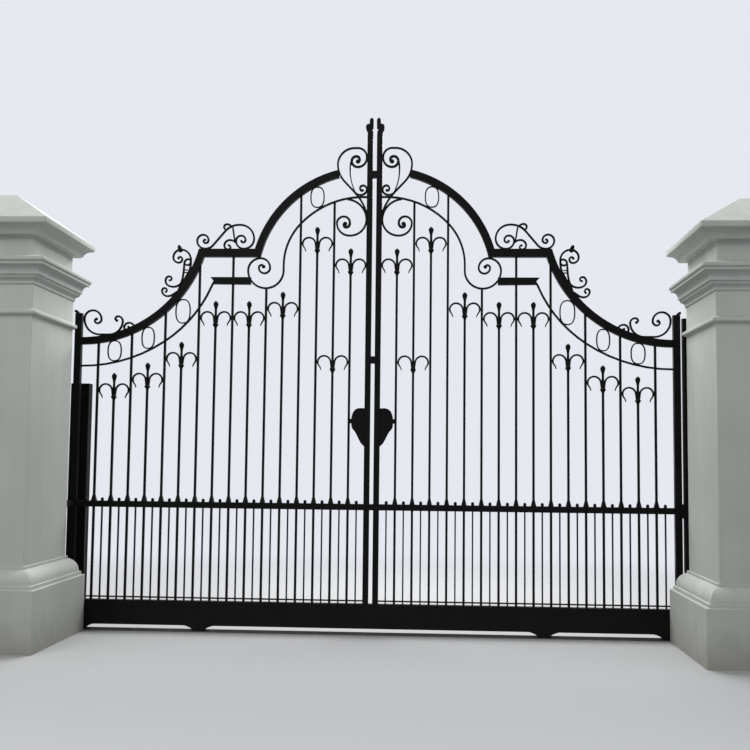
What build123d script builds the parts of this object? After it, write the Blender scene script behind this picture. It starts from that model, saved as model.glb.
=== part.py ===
from build123d import *
from math import asin, ceil, cos, degrees, pi, radians, sin, sqrt
import os

os.makedirs("parts", exist_ok=True)

# A sliding driveway gate between two square pillars. Sizes are in millimetres.
# X runs to the right, Y away from the driveway and Z up. The leaf lies in the plane Y = 0,
# its centre seam is at X = 0 and the underside of the track is at Z = 0.

# Leaf
leaf_half = 2670.0
seam_gap = 35.0
stile_width = 50.0
stile_depth = 50.0
end_stile_width = 60.0
end_stile_top = 2790.0
stile_top = 4400.0
tie_drop = 322.0
tie_height = 63.0
low_tie = 2353.0
beam_bottom = 55.5
beam_height = 210.4
beam_depth = 60.0
sill_height = 10.0
sill_rise = 19.0
mid_rail_bottom = 1070.0
mid_rail_height = 53.0
mid_rail_depth = 56.0
picket = 20.0
dog_width = 12.0
knob_width = 28.0
knob_height = 30.0
flare_width = 45.0
flare_height = 57.0

# Top rail, bands and scrolls. The arch is centred beside the seam, the sweep on the end stile.
arch_x = 76.0
arch_z = 3090.0
arch_inner = 960.0
shoulder_bottom = 3300.0
shoulder_height = 73.0
shoulder_end = 1567.5
sweep_end = 2541.0
top_rail_width = 67.0
top_rail_depth = 50.0
sweep_width = 65.0
band_rise = 3842.6
stub_depth = 40.0
band_thick = 13.0
band_depth = 22.0
scroll_thick = 13.0
scroll_depth = 20.0
thin_scroll = 8.0
chord_steps = ((35.0, 60.0), (64.0, 45.0), (250.0, 27.0))
hook_thick = 11.0
hook_depth = 16.0
oval_thick = 9.0
oval_depth = 16.0
spear_length = 235.0
spear_width = 37.0
collar_width = 50.0

# Track and wheels
sole_width = 70.0
sole_height = 8.0
rail_height = 15.0
track_gap = 0.3
axle_height = 70.0
axle_radius = 10.0
axle_clearance = 0.05
wheel_width = 32.0
wheel_side_gap = 4.0
wheel_sides = 24
wheel_inset = 1180.0
cheek_thick = 5.0
travel = 5100.0

# Posts
catch_post_height = 2760.0
catch_post_width = 60.0
guide_post_height = 2165.0
guide_post_width = 165.0
guide_post_depth = 100.0
guide_bar_top = 2530.0
end_stop_height = 240.0
shoe_gap = 0.3

# Pillars
plinth_width = 1225.0
left_plinth_height = 485.0
right_plinth_height = 445.0
pillar_clearance = 45.0
shaft_inset = 135.0
frieze_inset = 150.0

# Sizes that follow from the ones above
scale = leaf_half / 2670.0
trim = plinth_width / 1225.0
beam_top = beam_bottom + beam_height
mid_rail_top = mid_rail_bottom + mid_rail_height
seam_half = seam_gap / 2
stile_inner = seam_half + stile_width
end_inner = leaf_half - end_stile_width
main_bars = [(205.6 + 150 * n) * scale for n in range(16)]
dog_bars_at = [(130.6 + 150 * n) * scale for n in range(17)]


def up(z):
    """Height of a point of the upper ornament, which grows with the width of the leaf."""
    return mid_rail_top + (z - 1123.0) * scale


def at(x, z, y=0.0):
    return Vector(x * scale, y, up(z))


def block(x0, x1, y0, y1, z0, z1):
    middle = Pos((x0 + x1) / 2, (y0 + y1) / 2, (z0 + z1) / 2)
    return middle * Box(x1 - x0, y1 - y0, z1 - z0)


def solids(shape):
    """Every solid of a shape or of a list of shapes."""
    if isinstance(shape, (list, tuple)):
        return [s for item in shape for s in solids(item)]
    return list(shape.solids())


def fuse(*shapes):
    pieces = solids(list(shapes))
    whole = pieces[0]
    if len(pieces) > 1:
        whole = whole.fuse(*pieces[1:])
    return solids(whole)


def cut(shape, *tools):
    """The solids left of a shape when every tool has been taken out of it."""
    kept = []
    cutters = solids(list(tools))
    for piece in solids(shape):
        box = piece.bounding_box()
        near = [t for t in cutters if touching(box, t.bounding_box())]
        kept += solids(piece.cut(*near)) if near else [piece]
    return [s for s in kept if s.volume > 20.0]


def touching(a, b):
    apart = (
        a.min.X > b.max.X or b.min.X > a.max.X
        or a.min.Y > b.max.Y or b.min.Y > a.max.Y
        or a.min.Z > b.max.Z or b.min.Z > a.max.Z
    )
    return not apart


def mirrored(shapes):
    return [mirror(s, about=Plane.YZ) for s in solids(shapes)]


def both(shapes):
    """The right-hand pieces together with their mirror images."""
    right = solids(shapes)
    return right + mirrored(right)


def save(name, *shapes):
    pieces = solids(list(shapes))
    whole = pieces[0] if len(pieces) == 1 else Compound(children=pieces)
    whole.label = name
    export_step(whole, f"parts/{name}.step")


def outline(points):
    """A face in the plane of the leaf from corner points, closed by itself."""
    corners = [at(x, z) for x, z in points]
    return Face(Wire.make_polygon(corners, close=True))


def thicken(face, depth, y=0.0):
    body = extrude(face, amount=depth / 2, dir=(0, 1, 0), both=True)
    return Pos(0, y, 0) * body


def bent_bar(start, heading, moves, thick, depth, knob=0.0, point=0.0):
    """A flat bar bent on edge: each move is (turn in degrees, radius) or (0, length)."""
    x, z = start[0] * scale, start[1]
    z = up(z)
    half = thick / 2
    angle = heading
    rims = {1: [], -1: []}
    for turn, size in moves:
        size = size * scale
        nx, nz = -sin(radians(angle)), cos(radians(angle))
        if turn == 0:
            ex = x + size * cos(radians(angle))
            ez = z + size * sin(radians(angle))
            for side, rim in rims.items():
                a = (x + side * half * nx, 0, z + side * half * nz)
                b = (ex + side * half * nx, 0, ez + side * half * nz)
                rim.append(Edge.make_line(a, b))
            x, z = ex, ez
            continue
        way = 1 if turn > 0 else -1
        cx, cz = x + way * size * nx, z + way * size * nz

        def rim_point(side, heading_there):
            reach = -way * (size - way * side * half)
            turned = radians(heading_there)
            return (cx - reach * sin(turned), 0, cz + reach * cos(turned))

        step = next((s for r, s in chord_steps if size < r * scale), 0)
        chords = ceil(abs(turn) / step) if step else 0
        for side, rim in rims.items():
            if chords:
                for i in range(chords):
                    a = rim_point(side, angle + turn * i / chords)
                    b = rim_point(side, angle + turn * (i + 1) / chords)
                    rim.append(Edge.make_line(a, b))
            else:
                a = rim_point(side, angle)
                m = rim_point(side, angle + turn / 2)
                b = rim_point(side, angle + turn)
                rim.append(Edge.make_three_point_arc(a, m, b))
        angle += turn
        x = cx + way * size * sin(radians(angle))
        z = cz - way * size * cos(radians(angle))
    left, right = rims[1], rims[-1]
    edges = left + right
    edges.append(Edge.make_line(left[0] @ 0, right[0] @ 0))
    if point:
        tip = (x + point * cos(radians(angle)), 0, z + point * sin(radians(angle)))
        edges.append(Edge.make_line(left[-1] @ 1, tip))
        edges.append(Edge.make_line(right[-1] @ 1, tip))
    else:
        edges.append(Edge.make_line(left[-1] @ 1, right[-1] @ 1))
    bar = thicken(Face(Wire(edges)), depth)
    if knob:
        disc = Rot(90, 0, 0) * extrude(RegularPolygon(knob, 7), amount=depth / 2 + 2, both=True)
        return fuse(bar, Pos(x, 0, z) * disc)
    return solids(bar)


def volute(radii, way=1):
    """Quarter turns of falling radius, to the left for way 1 and to the right for -1."""
    return [(way * 90, r) for r in radii]


def tapered(x, sections, sides=4):
    """An upright bar of square or many-sided section: each section is (height, width)."""
    rings = []
    for z, width in sections:
        r = width / 2 / cos(pi / sides)
        turns = [pi / sides * (2 * i + 1) for i in range(sides)]
        rings.append([(x + r * cos(a), r * sin(a), z) for a in turns])
    return faceted(rings)


def faceted(rings):
    """A closed solid through rings of the same number of corners, with flat sides."""
    sides = len(rings[0])
    faces = [Face(Wire.make_polygon(ring, close=True)) for ring in (rings[0], rings[-1])]
    for low, high in zip(rings, rings[1:]):
        for i in range(sides):
            j = (i + 1) % sides
            faces.append(Face(Wire.make_polygon([low[i], low[j], high[j], high[i]], close=True)))
    return Solid(Shell(faces))


def ring_sector(cx, cz, inner, outer, start, end, depth):
    """Part of a ring in the plane of the leaf, between two angles in degrees."""
    def rim_point(r, a):
        return (cx + r * cos(radians(a)), 0, cz + r * sin(radians(a)))

    middle = (start + end) / 2
    edges = [
        Edge.make_three_point_arc(*(rim_point(outer, a) for a in (start, middle, end))),
        Edge.make_three_point_arc(*(rim_point(inner, a) for a in (start, middle, end))),
        Edge.make_line(rim_point(inner, start), rim_point(outer, start)),
        Edge.make_line(rim_point(inner, end), rim_point(outer, end)),
    ]
    return thicken(Face(Wire(edges)), depth)


# Top rail: an arch beside the seam, a level shoulder and a sweep down to the end stile
shoulder_low = up(shoulder_bottom)
shoulder_high = shoulder_low + shoulder_height * scale
arch_in = arch_inner * scale
arch_out = arch_in + top_rail_width
arch_foot = degrees(asin((shoulder_high - up(arch_z) - 20) / arch_out))
arch = ring_sector(
    arch_x * scale, up(arch_z), arch_in, arch_out, arch_foot - 3.0, 75.7, top_rail_depth
)
sweep_low = up(sweep_end) + sweep_width / 2
run = end_inner - shoulder_end * scale
fall = shoulder_high - sweep_low
sweep_in = (run ** 2 + fall ** 2) / (2 * fall)
sweep_out = sweep_in + sweep_width
sweep_zc = sweep_low + sweep_in
sweep = ring_sector(end_inner, sweep_zc, sweep_in, sweep_out, 180.0, 270.0, top_rail_depth)
sweep = sweep & block(0, leaf_half, -top_rail_depth, top_rail_depth, up(2300.0), shoulder_high)
half_top = top_rail_depth / 2
shoulder_left = arch_x * scale + arch_in + 20 * scale
shoulder = block(
    shoulder_left, shoulder_end * scale, -half_top, half_top, shoulder_low, shoulder_high
)
arch_part = cut(arch, block(0, leaf_half, -60, 60, up(2700.0), shoulder_low))
heart = bent_bar(
    (63, 3678), 72,
    [(0, 30), (-25, 485), (0, 133), (43, 230), (90, 148), (0, 30), (90, 79), (0, 15)]
    + volute([79, 55, 42, 30, 16]),
    scroll_thick, scroll_depth, knob=13,
)
top_rail = cut(fuse(arch_part, shoulder, sweep), heart)


def rail_underside(x):
    """Height of the lower edge of the top rail above a bar."""
    sweep_start = end_inner - sqrt(sweep_out ** 2 - (sweep_zc - shoulder_low) ** 2)
    if x > sweep_start:
        return sweep_zc - sqrt(sweep_out ** 2 - (x - end_inner) ** 2)
    if x > shoulder_left:
        return shoulder_low
    return up(arch_z) + sqrt(arch_in ** 2 - (x - arch_x * scale) ** 2)


# Seams, stiles and rails
half_stile = stile_depth / 2
centre_stile = [
    block(seam_half, stile_inner, -half_stile, half_stile, beam_top, mid_rail_bottom),
    block(seam_half, stile_inner, -half_stile, half_stile, mid_rail_top, up(stile_top)),
]
end_stile = [
    block(end_inner, leaf_half, -half_stile, half_stile, beam_top, mid_rail_bottom),
    block(end_inner, leaf_half, -half_stile, half_stile, mid_rail_top, up(end_stile_top)),
]
snub = bent_bar(
    (2648, end_stile_top - 8), 90, [(-75, 26)], 22, 40, knob=13
)
end_stile[1:] = fuse(end_stile[1], snub)
mid_rail = block(
    -leaf_half, leaf_half, -mid_rail_depth / 2, mid_rail_depth / 2, mid_rail_bottom, mid_rail_top
)
sill_low = beam_top + sill_rise
sill = [
    block(stile_inner, end_inner, picket / 2, picket / 2 + 6, sill_low, sill_low + sill_height),
    block(stile_inner, end_inner, -picket / 2 - 6, -picket / 2, sill_low, sill_low + sill_height),
]
stiles = solids([centre_stile, end_stile])

# Finials: a slim prong beside the seam and a snub one outside it
a, b = seam_half, stile_inner
finial_corners = [
    (a, 0), (a, 40), (a + 6, 50), (a - 2, 60), (a - 2, 140), (a + 3, 155), (a + 13, 162),
    (a + 24, 155), (a + 31, 141), (a + 32, 101), (a + 43, 100), (a + 56, 92), (a + 62, 78),
    (a + 61, 58), (a + 55, 40), (b, 20), (b, 0),
]
finial_face = Face(
    Wire.make_polygon([(x, 0, up(stile_top) + z) for x, z in finial_corners], close=True)
)
finial = thicken(finial_face, 36)

# Inner band under the arch, running into the large scroll
inner_band = cut(
    bent_bar(
        (60, band_rise), 2.7,
        [(0, 7), (-50, 760), (-42.7, 540), (0, 54)]
        + volute([158, 160, 110, 86, 50, 50, 26, 16]),
        band_thick, band_depth, knob=15,
    ),
    stiles,
)
under_scroll = cut(
    bent_bar(
        (242, band_rise - 19), 185,
        [(85, 187), (90, 142), (0, 8), (90, 112), (90, 60), (90, 55), (0, 8)] + volute([34, 20, 12]),
        scroll_thick, scroll_depth, knob=12,
    ),
    inner_band, stiles,
)
leaf_scroll = bent_bar(
    (215, 4160), -81, [(-34, 455), (-107, 59)] + volute([43, 29, 25, 11], -1),
    thin_scroll, scroll_depth, knob=10,
)
heart_scroll = cut(fuse(heart, leaf_scroll), inner_band, stiles, under_scroll, finial)

# Stub beyond the large scroll and the lower band below the sweep
stub_top, stub_bottom = 3118.0, 3052.0
stub_plate = outline(
    [(1095, stub_bottom), (1445, stub_bottom + 4), (1430, stub_bottom + 34), (1460, stub_top),
     (1095, stub_top)]
)
stub = cut(thicken(stub_plate, stub_depth), inner_band)
stub = [max(stub, key=lambda s: s.volume)]
lower_band = cut(
    bent_bar(
        (2616, 2318), 180.5, [(0, 6), (-34, 1332), (-33.5, 1128), (0, 24)],
        band_thick, band_depth,
    ),
    stiles, stub,
)

# Pickets
above_rail = solids([top_rail, inner_band, under_scroll, stub, lower_band])
spear_tips_at = {0: 3373, 2: 3568, 4: 2982, 6: 2898, 8: 2898, 10: 2530, 12: 2342, 14: 2247}
tall_tops = {n: rail_underside(main_bars[n]) + 25 for n in range(3, 16, 2)}
tall_tops[1] = up(3800)
tall_tops[5] = up(3024)
tall = []
for n, top in tall_tops.items():
    foot = [(mid_rail_top, flare_width), (mid_rail_top + flare_height, picket), (top, picket)]
    tall += cut(tapered(main_bars[n], foot), above_rail)
spears = []
tips = []
hooks = []
neck_top = 85.0


def spear_tip(x, top):
    """A collar, a square neck and a pear-shaped point in one forging."""
    base = top - spear_length
    collar = tapered(x, [(base, picket), (base + 26, collar_width), (base + 55, picket)])
    neck = tapered(x, [(base + 55, picket), (top - neck_top, picket)])
    pear = tapered(x, [
        (top - neck_top, picket), (top - 28, spear_width), (top - 9, spear_width * 0.7), (top, 7.0),
    ], 6)
    return fuse(collar, neck, pear)


def hook(x, top, way):
    """A drooping hook beside a spear, pointed at its free end."""
    piece = bent_bar(
        (16, top - 207), 86, [(0, 60), (-86, 61), (-90, 54), (-36, 62)],
        hook_thick, hook_depth, point=32,
    )
    piece = piece if way > 0 else mirrored(piece)
    return [Pos(x, 0, 0) * s for s in piece]


for n, top in spear_tips_at.items():
    x = main_bars[n]
    foot = [
        (mid_rail_top, flare_width), (mid_rail_top + flare_height, picket),
        (up(top) - spear_length, picket),
    ]
    spears += solids(tapered(x, foot))
    tips += spear_tip(x, up(top))
    hooks += hook(x, top, 1) + hook(x, top, -1)
extra_collar_z = up(2300)
extra_collar = cut(
    tapered(main_bars[1], [(extra_collar_z - 28, picket + 2), (extra_collar_z, collar_width),
                      (extra_collar_z + 28, picket + 2)]),
    tall,
)
hooks += hook(main_bars[1], 2510, 1) + hook(main_bars[1], 2510, -1)
hooks = cut(hooks, tall, spears, tips, extra_collar, centre_stile)

lower_pickets = []
for x in main_bars:
    left, right = x - picket / 2, x + picket / 2
    lower_pickets.append(block(left, right, -picket / 2, picket / 2, beam_top, mid_rail_bottom))
dog_bars = []
for x in dog_bars_at:
    left, right = x - dog_width / 2, x + dog_width / 2
    dog_bars.append(block(left, right, -picket / 2, picket / 2, beam_top, mid_rail_bottom))
knobs = []
for x in dog_bars_at:
    shape = [
        (mid_rail_top, knob_width * 0.65), (mid_rail_top + knob_height * 0.45, knob_width),
        (mid_rail_top + knob_height, knob_width * 0.5),
    ]
    knobs += solids(tapered(x, shape))

# Ovals between the bands
ovals = []
oval_turns = [2 * pi * i / 12 for i in range(12)]
oval_sizes = (
    (510, 3840, 120, 206), (1703, 2810, 142, 232), (2010, 2569, 130, 210), (2310, 2452, 136, 194),
)
for x, z, wide, high in oval_sizes:
    place = Pos(x * scale, 0, up(z)) * Rot(90, 0, 0)
    rims = []
    for inset in (0, oval_thick):
        a, b = wide * scale / 2 - inset, high * scale / 2 - inset
        rims.append(Polygon(*[(a * cos(t), b * sin(t)) for t in oval_turns], align=None))
    ovals += solids(place * extrude(rims[0] - rims[1], amount=oval_depth / 2, both=True))
ovals = cut(ovals, top_rail, inner_band, lower_band, tall)

# Scrolls standing on the shoulder
shoulder_crest = fuse(
    bent_bar(
        (1075, 3466), 90,
        [(-90, 127), (0, 10), (-50, 165), (0, 163), (50, 90), (0, 4)] + volute([72, 54, 48, 27, 18, 12]),
        scroll_thick, scroll_depth, knob=11,
    ),
    bent_bar(
        (1075, 3466), 270, volute([90, 72, 47, 38, 24, 13]), scroll_thick, scroll_depth, knob=11
    ),
    bent_bar(
        (1236, 3429), 48, [(-42, 80)] + volute([50, 37, 21, 17], -1),
        scroll_thick, scroll_depth, knob=10,
    ),
    bent_bar((1247, 3436), 81, [(0, 134)], thin_scroll, scroll_depth),
    bent_bar(
        (1277, 3572), 63, [(-66, 49)] + volute([26, 23, 14], -1), scroll_thick, scroll_depth, knob=8
    ),
)
shoulder_crest = cut(shoulder_crest, top_rail)

# Scrolls standing on the sweep
sweep_crest = fuse(
    bent_bar(
        (1716, 3057), 118,
        [(0, 110), (-28, 200), (0, 28)] + volute([92, 68, 50, 31, 22, 12], -1),
        scroll_thick, scroll_depth, knob=11,
    ),
    bent_bar((1737, 3351), 57, [(0, 64)], 21, scroll_depth),
    bent_bar(
        (1747, 3000), 109, [(0, 68), (-15, 370), (0, 90)] + volute([35, 21, 31]),
        scroll_thick, scroll_depth,
    ),
    bent_bar((1668, 3184), 0, [(0, 32)], 9, scroll_depth),
    bent_bar((1672, 3161), 0, [(0, 34)], 9, scroll_depth),
    bent_bar(
        (1723, 3066), -51, [(81, 93), (90, 49), (90, 29), (90, 17), (60, 17)],
        scroll_thick, scroll_depth, knob=9,
    ),
    bent_bar(
        (1757, 2989), -35, [(0, 45), (30, 93), (90, 52), (90, 24), (90, 19), (60, 18)],
        scroll_thick, scroll_depth, knob=9,
    ),
)
sweep_crest = cut(sweep_crest, top_rail)
end_scroll = fuse(
    bent_bar(
        (2400, 2600), 0, [(0, 49), (90, 143), (90, 74), (90, 80), (90, 36), (90, 24), (90, 14)],
        scroll_thick, scroll_depth, knob=13,
    ),
    bent_bar(
        (2400, 2600), 180, [(0, 36)] + volute([120, 44, 24, 14], -1),
        scroll_thick, scroll_depth, knob=12,
    ),
    bent_bar(
        (2138, 2676), 62, [(-62, 56)] + volute([42, 30, 22, 14], -1),
        scroll_thick, scroll_depth, knob=9,
    ),
)
end_scroll = cut(end_scroll, top_rail)

# Lock plates and ties
plate_face = outline(
    [(60, 1958), (122, 1958), (150, 1945), (170, 1917), (181, 1880), (182, 1845), (178, 1790),
     (148, 1748), (130, 1715), (113, 1680), (95, 1650), (60, 1618)]
)
lug = block(175 * scale, main_bars[0], -10, 10, up(1825), up(1865))
lock_plate = cut(fuse(thicken(plate_face, 30), lug), stiles, spears)
ties = [
    block(-seam_half, seam_half, -20, 20, up(z), up(z + tie_height))
    for z in (stile_top - tie_drop - tie_height, low_tie)
]

# Bottom beam with pockets for the wheels
rail_top = sole_height + rail_height
groove_radius = axle_height - rail_top - track_gap * sqrt(2)
flange_radius = groove_radius + rail_height - 2.0
bore_radius = axle_radius + axle_clearance
wheel_positions = [-(leaf_half - 125), wheel_inset - leaf_half, leaf_half - wheel_inset, leaf_half - 125]
half_beam = beam_depth / 2
cheek_in = wheel_width / 2 + wheel_side_gap
cheek_out = cheek_in + cheek_thick
pocket_half = flange_radius + 12
pocket_top = axle_height + flange_radius + 12
beam = block(-leaf_half, leaf_half, -half_beam, half_beam, beam_bottom, beam_top)
for x in wheel_positions:
    beam = beam - block(x - pocket_half, x + pocket_half, -cheek_out, cheek_out, 0, pocket_top)
housing_foot = sole_height + 6
housings = []
for x in wheel_positions:
    flare = Face(Wire.make_polygon(
        [(x - 125, 0, beam_bottom), (x - 56, 0, housing_foot), (x + 56, 0, housing_foot),
         (x + 125, 0, beam_bottom)], close=True))
    cheeks = []
    for side in (-1, 1):
        near, far = sorted((side * cheek_in, side * cheek_out))
        cheeks.append(block(x - pocket_half, x + pocket_half, near, far, beam_bottom, pocket_top))
        outer = (cheek_in + half_beam) / 2
        cheeks.append(thicken(flare, half_beam - cheek_in, side * outer))
    axle = Pos(x, 0, axle_height) * Rot(90, 0, 0) * Cylinder(axle_radius, 2 * cheek_in + 2)
    housings += fuse(*cheeks, axle)


def wheel(x):
    """A wheel whose V groove straddles the rail."""
    half = wheel_width / 2
    edge = flange_radius - groove_radius
    rings = []
    for y, r in ((-half, flange_radius), (-edge, flange_radius), (0, groove_radius),
                 (edge, flange_radius), (half, flange_radius)):
        turns = [2 * pi * i / wheel_sides for i in range(wheel_sides)]
        rings.append([(x + r * cos(a), y, axle_height + r * sin(a)) for a in turns])
    bore = Pos(x, 0, axle_height) * Rot(90, 0, 0) * Cylinder(bore_radius, wheel_width + 2)
    return cut(faceted(rings), bore)


# Track on the ground
track_left = -(leaf_half + travel + 100)
catch_x = leaf_half + 20
track_right = catch_x
half_sole = sole_width / 2
ridge = Face(Wire.make_polygon(
    [(track_left, -rail_height, sole_height), (track_left, rail_height, sole_height),
     (track_left, 0, rail_top)], close=True))
track = fuse(
    block(track_left, track_right, -half_sole, half_sole, 0, sole_height),
    extrude(ridge, amount=track_right - track_left, dir=(1, 0, 0)),
)
stop_x = -(leaf_half + travel + 20)
end_stop = cut(
    block(stop_x - 60, stop_x, -half_sole, half_sole, sole_height, end_stop_height), track
)

# Posts and guides
mid_z = (mid_rail_bottom + mid_rail_top) / 2
catch_in = half_stile + 3
catch_out = half_stile + 11
catch_post = fuse(
    block(catch_x, catch_x + catch_post_width, -30, 30, 0, catch_post_height),
    block(catch_x - 50, catch_x, catch_in, catch_out, mid_z - 60, mid_z + 60),
    block(catch_x - 50, catch_x, -catch_out, -catch_in, mid_z - 60, mid_z + 60),
    block(catch_x, catch_x + 12, -catch_out, catch_out, mid_z - 60, mid_z + 60),
)
guide_x = -(leaf_half - 90)
post_front = 75.0
post_right = guide_x + 25
post_left = post_right - guide_post_width
guide_post = fuse(
    block(post_left, post_right, post_front, post_front + guide_post_depth, 0, guide_post_height),
    block(post_left + 20, post_left + 45, post_front + 40, post_front + 65,
          guide_post_height, guide_bar_top),
)
shoe_face = mid_rail_depth / 2 + shoe_gap
left_inner = -(leaf_half - 170)
right_inner = leaf_half - 121
pillar_back = -pillar_clearance
shaft_back = pillar_back - shaft_inset
shoe_thick = 14.0
shaft_face = left_inner - shaft_inset
guide_shoes = [
    block(guide_x - 20, guide_x + 20, shoe_face, shoe_face + shoe_thick, mid_z - 20, mid_z + 20),
    block(shaft_face - 34, shaft_face - 4, -shoe_face - shoe_thick, -shoe_face, mid_z - 20, mid_z + 20),
]
guide_arms = [
    block(guide_x - 25, guide_x + 25, shoe_face + shoe_thick, post_front, mid_z - 28, mid_z + 28),
    block(shaft_face - 44, shaft_face - 4, shaft_back, -shoe_face - shoe_thick, mid_z - 28, mid_z + 28),
]


# Pillars
def moulding(cx, cy, base, profile):
    """A square moulding from a profile of (inset, height), with arcs as (inset, height, middle)."""
    profile = [
        (p[0] * trim, p[1] * trim, (p[2][0] * trim, p[2][1] * trim)) if len(p) > 2
        else (p[0] * trim, p[1] * trim)
        for p in profile
    ]

    def slab(along_x):
        reach = plinth_width / 2
        edges = []
        for sign in (1, -1):
            previous = None
            for p in profile:
                here = (sign * (reach - p[0]), p[1])
                if previous is not None:
                    if len(p) > 2:
                        via = (sign * (reach - p[2][0]), p[2][1])
                        edges.append(("arc", previous, via, here))
                    else:
                        edges.append(("line", previous, here))
                previous = here
        low, high = profile[0], profile[-1]
        edges.append(("line", (reach - low[0], low[1]), (low[0] - reach, low[1])))
        edges.append(("line", (reach - high[0], high[1]), (high[0] - reach, high[1])))

        def place(p):
            if along_x:
                return (cx - reach - 5, cy + p[0], base + p[1])
            return (cx + p[0], cy - reach - 5, base + p[1])

        made = []
        for kind, *points in edges:
            points = [place(p) for p in points]
            straight = kind == "line"
            made.append(Edge.make_line(*points) if straight else Edge.make_three_point_arc(*points))
        way = (1, 0, 0) if along_x else (0, 1, 0)
        return extrude(Face(Wire(made)), amount=plinth_width + 10, dir=way)

    return slab(True) & slab(False)


def pillar(side, inner_face, plinth_height):
    """A pillar from its plinth to its cap. Side is -1 for the left one and 1 for the right."""
    cx = inner_face + side * plinth_width / 2
    cy = pillar_back - plinth_width / 2
    name = "left" if side < 0 else "right"
    s, f = shaft_inset / trim, frieze_inset / trim

    def square(inset, low, high):
        half = plinth_width / 2 - inset * trim
        bottom, top = plinth_height + low * trim, plinth_height + high * trim
        return block(cx - half, cx + half, cy - half, cy + half, bottom, top)

    save(f"{name}_pillar_plinth", square(0, -plinth_height / trim, 0))
    base = moulding(cx, cy, plinth_height, [
        (25, 0), (25, 30), (42, 30), (42, 40), (108, 145, (66, 110)), (118, 145), (118, 168),
    ])
    save(f"{name}_base_moulding", base)
    shaft = square(s, 168, 2378)
    save(f"{name}_pillar_shaft", shaft)
    course = moulding(cx, cy, plinth_height, [
        (s, 2130), (s - 30, 2150), (s - 30, 2172), (s, 2190),
    ])
    save(f"{name}_string_course", cut(course, shaft))
    lower = moulding(cx, cy, plinth_height, [
        (s, 2378), (124, 2390), (124, 2398), (104, 2426, (119, 2416)), (90, 2455, (93, 2438)), (78, 2455),
        (78, 2470), (48, 2528, (71, 2502)), (28, 2528), (28, 2548), (14, 2560), (14, 2585), (f, 2622),
    ])
    frieze = square(f, 2622, 2778)
    save(f"{name}_lower_cornice", fuse(lower, frieze))
    upper = moulding(cx, cy, plinth_height, [
        (f, 2778), (88, 2778), (80, 2790), (16, 2845, (58, 2826)), (0, 2855), (0, 2900),
    ])
    save(f"{name}_upper_cornice", upper)
    cap = moulding(cx, cy, plinth_height, [(0, 2900), (396, 3164)])
    save(f"{name}_pillar_cap", cap)


pillar(-1, left_inner, left_plinth_height)
pillar(1, right_inner, right_plinth_height)

save("ground_track", track)
save("end_stop", end_stop)
save("guide_post", guide_post)
save("guide_arms", guide_arms)
save("guide_shoes", guide_shoes)
save("catch_post", catch_post)
save("bottom_beam", beam)
save("wheel_housings", housings)
save("sill_bars", both(sill))
save("mid_rail", mid_rail)
save("centre_stiles", both(centre_stile))
save("stile_finials", both(finial))
save("end_stiles", both(end_stile))
save("top_rails", both(top_rail))
save("inner_bands", both(inner_band))
save("shoulder_stubs", both(stub))
save("lower_bands", both(lower_band))
save("lower_pickets", both(lower_pickets))
save("dog_bars", both(dog_bars))
save("dog_bar_knobs", both(knobs))
save("tall_pickets", both(tall))
save("spear_pickets", both(spears))
save("spear_tips", both(tips))
save("picket_collars", both(extra_collar))
save("fleur_hooks", both(hooks))
save("oval_rings", both(ovals))
save("heart_scrolls", both(heart_scroll))
save("under_scrolls", both(under_scroll))
save("shoulder_crests", both(shoulder_crest))
save("sweep_crests", both(sweep_crest))
save("end_scrolls", both(end_scroll))
save("lock_plates", both(lock_plate))
save("tie_blocks", ties)
for number, x in enumerate(wheel_positions, 1):
    save(f"wheel_{number}", wheel(x))
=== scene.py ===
# %% [markdown]
# This lesson dresses a sliding driveway gate: a wrought iron leaf on a ground track, behind two
# rendered pillars. The measured model is loaded first and never moved. The gate could be modelled
# afresh by eye, but pieces that stand for measured solids keep the real sizes and slide with the
# leaf. So the cells below give each part the shape and the finish that its plain solid lacks.

# %% Load the measured gate
from math import atan2, copysign, cos, degrees, pi, radians, sin, sqrt
import bpy
from mathutils import Matrix, Vector


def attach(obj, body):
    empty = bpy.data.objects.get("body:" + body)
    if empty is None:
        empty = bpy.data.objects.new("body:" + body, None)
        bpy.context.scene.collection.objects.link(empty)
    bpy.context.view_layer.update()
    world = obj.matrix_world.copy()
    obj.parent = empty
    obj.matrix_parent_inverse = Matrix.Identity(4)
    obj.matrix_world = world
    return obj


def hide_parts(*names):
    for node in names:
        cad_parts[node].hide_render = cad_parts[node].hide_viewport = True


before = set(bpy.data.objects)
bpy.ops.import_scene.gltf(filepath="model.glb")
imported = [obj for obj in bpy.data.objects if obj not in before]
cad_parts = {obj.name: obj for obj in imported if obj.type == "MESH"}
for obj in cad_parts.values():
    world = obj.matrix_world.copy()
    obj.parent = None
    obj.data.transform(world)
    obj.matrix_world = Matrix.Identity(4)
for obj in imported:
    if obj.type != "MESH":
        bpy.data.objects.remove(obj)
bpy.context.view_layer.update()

# %% [markdown]
# The camera stands on the driveway at eye height, a little to the right of the seam, and looks
# slightly up. It could be aimed with three Euler angles or with a Track To constraint. Here yaw,
# pitch and roll are turned into three axes, because a camera in Blender looks along its own -Z
# with +Y up, and a matrix of axes leaves no doubt about which turn comes first.

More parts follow.
